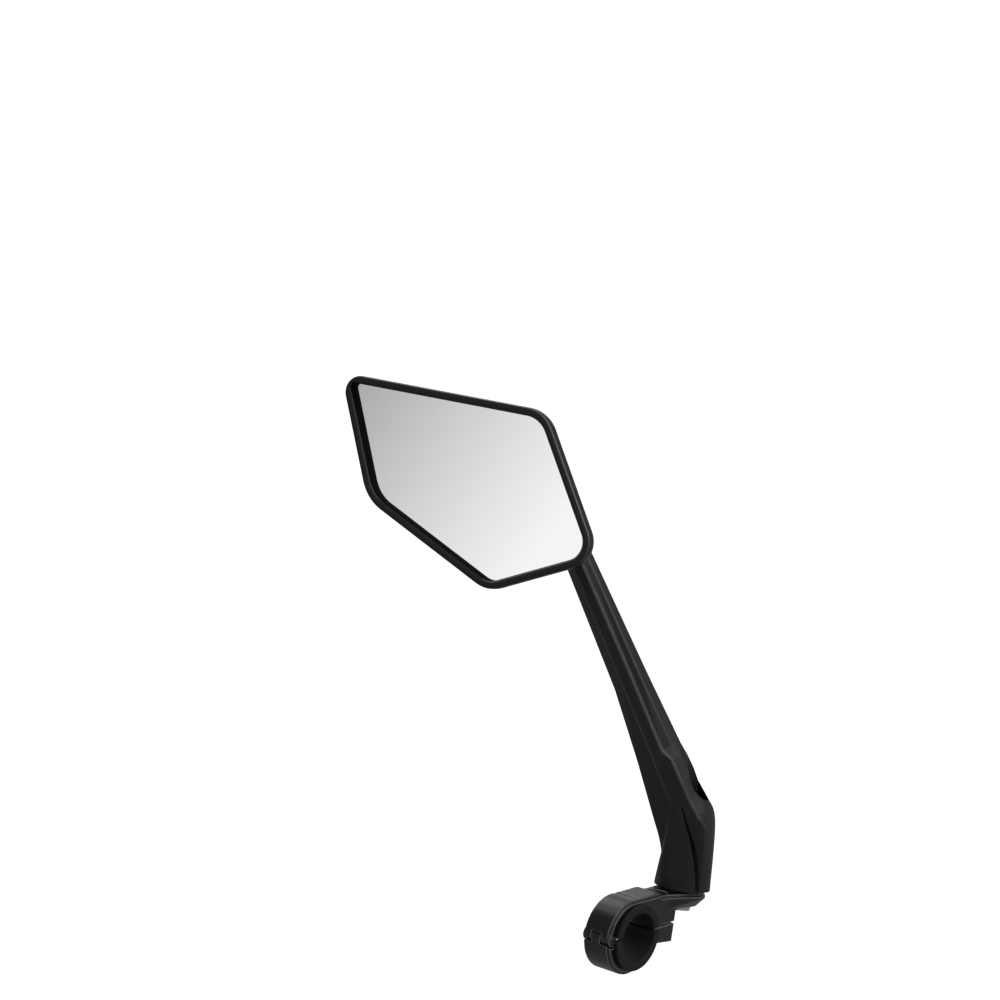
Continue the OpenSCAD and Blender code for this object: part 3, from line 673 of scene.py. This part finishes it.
def arm():
    bm = bmesh.new()
    loft(bm, [barrel_ring(z) for z in BARREL_HEIGHTS])
    loft(bm, strut_rings())
    body = placed("arm_moulding", bm, AT_ARM)
    eye = [(0, -23), (7.6, -23), (8.2, -22.4), (8.2, -11.5), (7.7, -11), (0, -11)]
    carve(body, [lathed("eye", eye, AT_HEAD)], "UNION")
    soften(body, voxel=0.45, passes=3)
    bore_shade_skin(body)
    stud_bore = [(0, -24), (6.32, -24), (6.32, -15.6), (3.25, -15.6), (3.25, -8), (0, -8)]
    carve(body, [
        block("below", BLOCK, AT_ARM @ Matrix.Translation((0, 0, -BLOCK / 2))),
        groove_cutter(1),
        groove_cutter(-1),
        drill("bush_bore", BUSH_BORE_R, -1, 11, AT_ARM),
        drill("key_bore", KEY_BORE_R, 10, 120, AT_ARM),
        lathed("stud_bore", stud_bore, AT_HEAD),
    ])
    paint_ridge_highlights(body)
    dress(body, "arm")


# Clamp and screws

KNURL_FLUTES = 40
KNURL_DEPTH = 0.16


def clamp_piece(node, name, voxel):
    """The node's solid with its edges rounded."""
    bm = bmesh.new()
    bm.from_mesh(frame["nodes"][node].data)
    bmesh.ops.remove_doubles(bm, verts=bm.verts, dist=SAME_POINT * MM)
    obj = placed(name, bm, TO_METRES.inverted())
    soften(obj, voxel, passes=2)
    dress(obj, node)


def screw_profile(shank_r, thread_r, shank_l, head_r, head_h, pitch):
    """Head with eased edges above z 0, and a shank with thread ridges below it."""
    top = [(0, head_h), (head_r - 0.5, head_h), (head_r - 0.12, head_h - 0.2), (head_r, head_h - 0.55)]
    underside = [(head_r, 0.5), (head_r - 0.15, 0.12), (head_r - 0.3, 0), (shank_r, 0)]
    thread = []
    neck = 1
    for i in range(int((shank_l - neck) / pitch)):
        z = -neck - i * pitch
        thread += [(shank_r, z), (thread_r, z - 0.4 * pitch), (thread_r, z - 0.6 * pitch)]
    tip = [(shank_r, 0.4 - shank_l), (shank_r - 0.4, -shank_l), (0, -shank_l)]
    return top + underside + thread + tip


def knurl(bm, head_r):
    """Presses every other edge of the head's side in."""
    for vert in bm.verts:
        if vert.co.xy.length > head_r - 0.01:
            step = round(atan2(vert.co.y, vert.co.x) * KNURL_FLUTES / pi)
            if step % 2:
                vert.co.xy *= 1 - KNURL_DEPTH / head_r


def socket_screw(node, name, seat, shank_r, thread_r, shank_l, head_r, head_h, pitch):
    """Cap screw with a knurled head, a hexagon socket and thread ridges."""
    bm = bmesh.new()
    turned(bm, screw_profile(shank_r, thread_r, shank_l, head_r, head_h, pitch), 2 * KNURL_FLUTES)
    knurl(bm, head_r)
    screw = placed(name, bm, Matrix.Translation(seat))
    socket = bmesh.new()
    socket_r = head_r / sqrt(3)
    bmesh.ops.create_cone(
        socket, cap_ends=True, segments=6, radius1=socket_r, radius2=socket_r, depth=head_h)
    carve(screw, [placed("socket", socket, Matrix.Translation(seat + Vector((0, 0, 0.95 * head_h))))])
    dress(screw, node)


mirror_housing()
mirror_glass()
recess_wall_shade()
arm()
clamp_piece("clamp_upper", "clamp_upper_half", voxel=0.3)
clamp_piece("clamp_lower", "clamp_lower_half", voxel=0.3)
clamp_piece("liner_upper", "liner_upper_sleeve", voxel=0.28)
clamp_piece("liner_lower", "liner_lower_sleeve", voxel=0.28)
socket_screw(
    "clamp_bolt", "clamp_cap_screw", CLAMP_BOLT_SEAT, shank_r=2.1, thread_r=2.4, shank_l=15.716, head_r=4.25,
    head_h=5, pitch=0.8)
socket_screw(
    "pivot_bolt", "pivot_cap_screw", PIVOT_BOLT_SEAT, shank_r=2.75, thread_r=3, shank_l=23.4, head_r=5,
    head_h=6, pitch=1)
for node, obj in frame["nodes"].items():
    for held in obj.material_slots:
        held.material = FINISHES[SLOT_OF[node]]


# Stage, in metres but for the floor

CAMERA_PLACE = (0.75184, -1.02477, 0.29444)
CAMERA_AZIMUTH, CAMERA_ELEVATION, CAMERA_ROLL = 39.8495, 5.1387, 8.0915
LENS = 106.393
SENSOR = 36
MIDDLE = Vector((-0.04, 0.0, 0.11))
# Directions in which reflections see the panel grow paler, and two glows: behind the mirror, and to its right
PANEL_AXIS = (0.8687, -0.2551, -0.4246)
GLOW_BEHIND = (-0.64, 0.73, 0.24)
GLOW_RIGHT = (0.93, 0.35, 0.1)
AMBIENT = 0.15
FLOOR_SIZE = 6000
FLOOR_Z = -130


def aim_camera():
    camera = bpy.data.objects.new("camera", bpy.data.cameras.new("camera"))
    camera.data.lens = LENS
    camera.data.sensor_width = SENSOR
    camera.data.clip_end = 50
    camera.matrix_world = (
        Matrix.Translation(CAMERA_PLACE)
        @ Matrix.Rotation(radians(CAMERA_AZIMUTH), 4, "Z")
        @ Matrix.Rotation(radians(90 - CAMERA_ELEVATION), 4, "X")
        @ Matrix.Rotation(radians(CAMERA_ROLL), 4, "Z")
    )
    bpy.context.scene.collection.objects.link(camera)
    bpy.context.scene.camera = camera


def softbox(name, direction, distance, size, power):
    """Rectangular lamp that faces the middle of the object."""
    lamp = bpy.data.lights.new(name, "AREA")
    lamp.shape = "RECTANGLE"
    lamp.size, lamp.size_y = size
    lamp.energy = power
    obj = bpy.data.objects.new(name, lamp)
    place = MIDDLE + distance * Vector(direction).normalized()
    facing = (place - MIDDLE).to_track_quat("Z", "Y").to_matrix().to_4x4()
    obj.matrix_world = Matrix.Translation(place) @ facing
    bpy.context.scene.collection.objects.link(obj)


def studio_world():
    """White to the eye; reflections see a graded panel with two glows."""
    world = bpy.data.worlds.new("studio")
    bpy.context.scene.world = world
    sky = Shader(world)
    camera_ray, glossy_ray, clear_ray = sky.rays()
    direction = sky.node("ShaderNodeTexCoord", out="Generated")
    across = sky.dot(direction, PANEL_AXIS)
    panel = (0.8 + 6.8 * across).at_most(1.3 - 2.6 * across).between(0.2, 1)
    behind = (5 * sky.dot(direction, GLOW_BEHIND) - 4.2).between(0, 0.7)
    right = (8 * sky.dot(direction, GLOW_RIGHT) - 7.1).between(0, 0.9)
    reflected = panel.at_least(behind + right)
    white = camera_ray + clear_ray
    level = white + glossy_ray * reflected + (1 - white - glossy_ray) * AMBIENT
    backdrop = sky.node("ShaderNodeBackground", sockets={"Color": (1, 1, 1, 1), "Strength": level})
    sky.node("ShaderNodeOutputWorld", sockets={"Surface": backdrop})


def pale_floor():
    """Pale floor that grows white with distance to the eye, and is darker in reflections."""
    bm = bmesh.new()
    bmesh.ops.create_grid(bm, x_segments=8, y_segments=8, size=FLOOR_SIZE)
    floor = placed("floor", bm, Matrix.Translation((0, 0, FLOOR_Z)))
    paint = bpy.data.materials.new("pale_floor")
    ground = Shader(paint)
    camera_ray, glossy_ray, clear_ray = ground.rays()
    place = ground.node("ShaderNodeTexCoord", out="Object")
    speck = ground.noise(place, 30, 3)
    away = ground.node("ShaderNodeVectorMath", {"operation": "LENGTH"}, {0: place}, out="Value")
    white = 0.8 + (0.25 * away - 0.1).between(0, 0.2)
    pale = ground.node("ShaderNodeBsdfPrincipled", sockets={
        "Base Color": ground.blend(glossy_ray, ground.blend(speck, grey(0.38), grey(0.42)), grey(0.15)),
        "Roughness": 0.8,
        "Emission Color": ground.blend(white * (camera_ray + clear_ray) + 0.2 * glossy_ray, grey(0), grey(1)),
        "Emission Strength": 1.0,
    })
    ground.node("ShaderNodeOutputMaterial", sockets={"Surface": pale})
    floor.data.materials.append(paint)


aim_camera()
softbox("key", (0.6, -0.1, 0.75), distance=1.8, size=(2.2, 1.8), power=20)
softbox("top", (-0.5, 0.08, 0.82), distance=1.6, size=(1.4, 1.2), power=9)
studio_world()
pale_floor()
bpy.context.scene.view_settings.view_transform = "Standard"
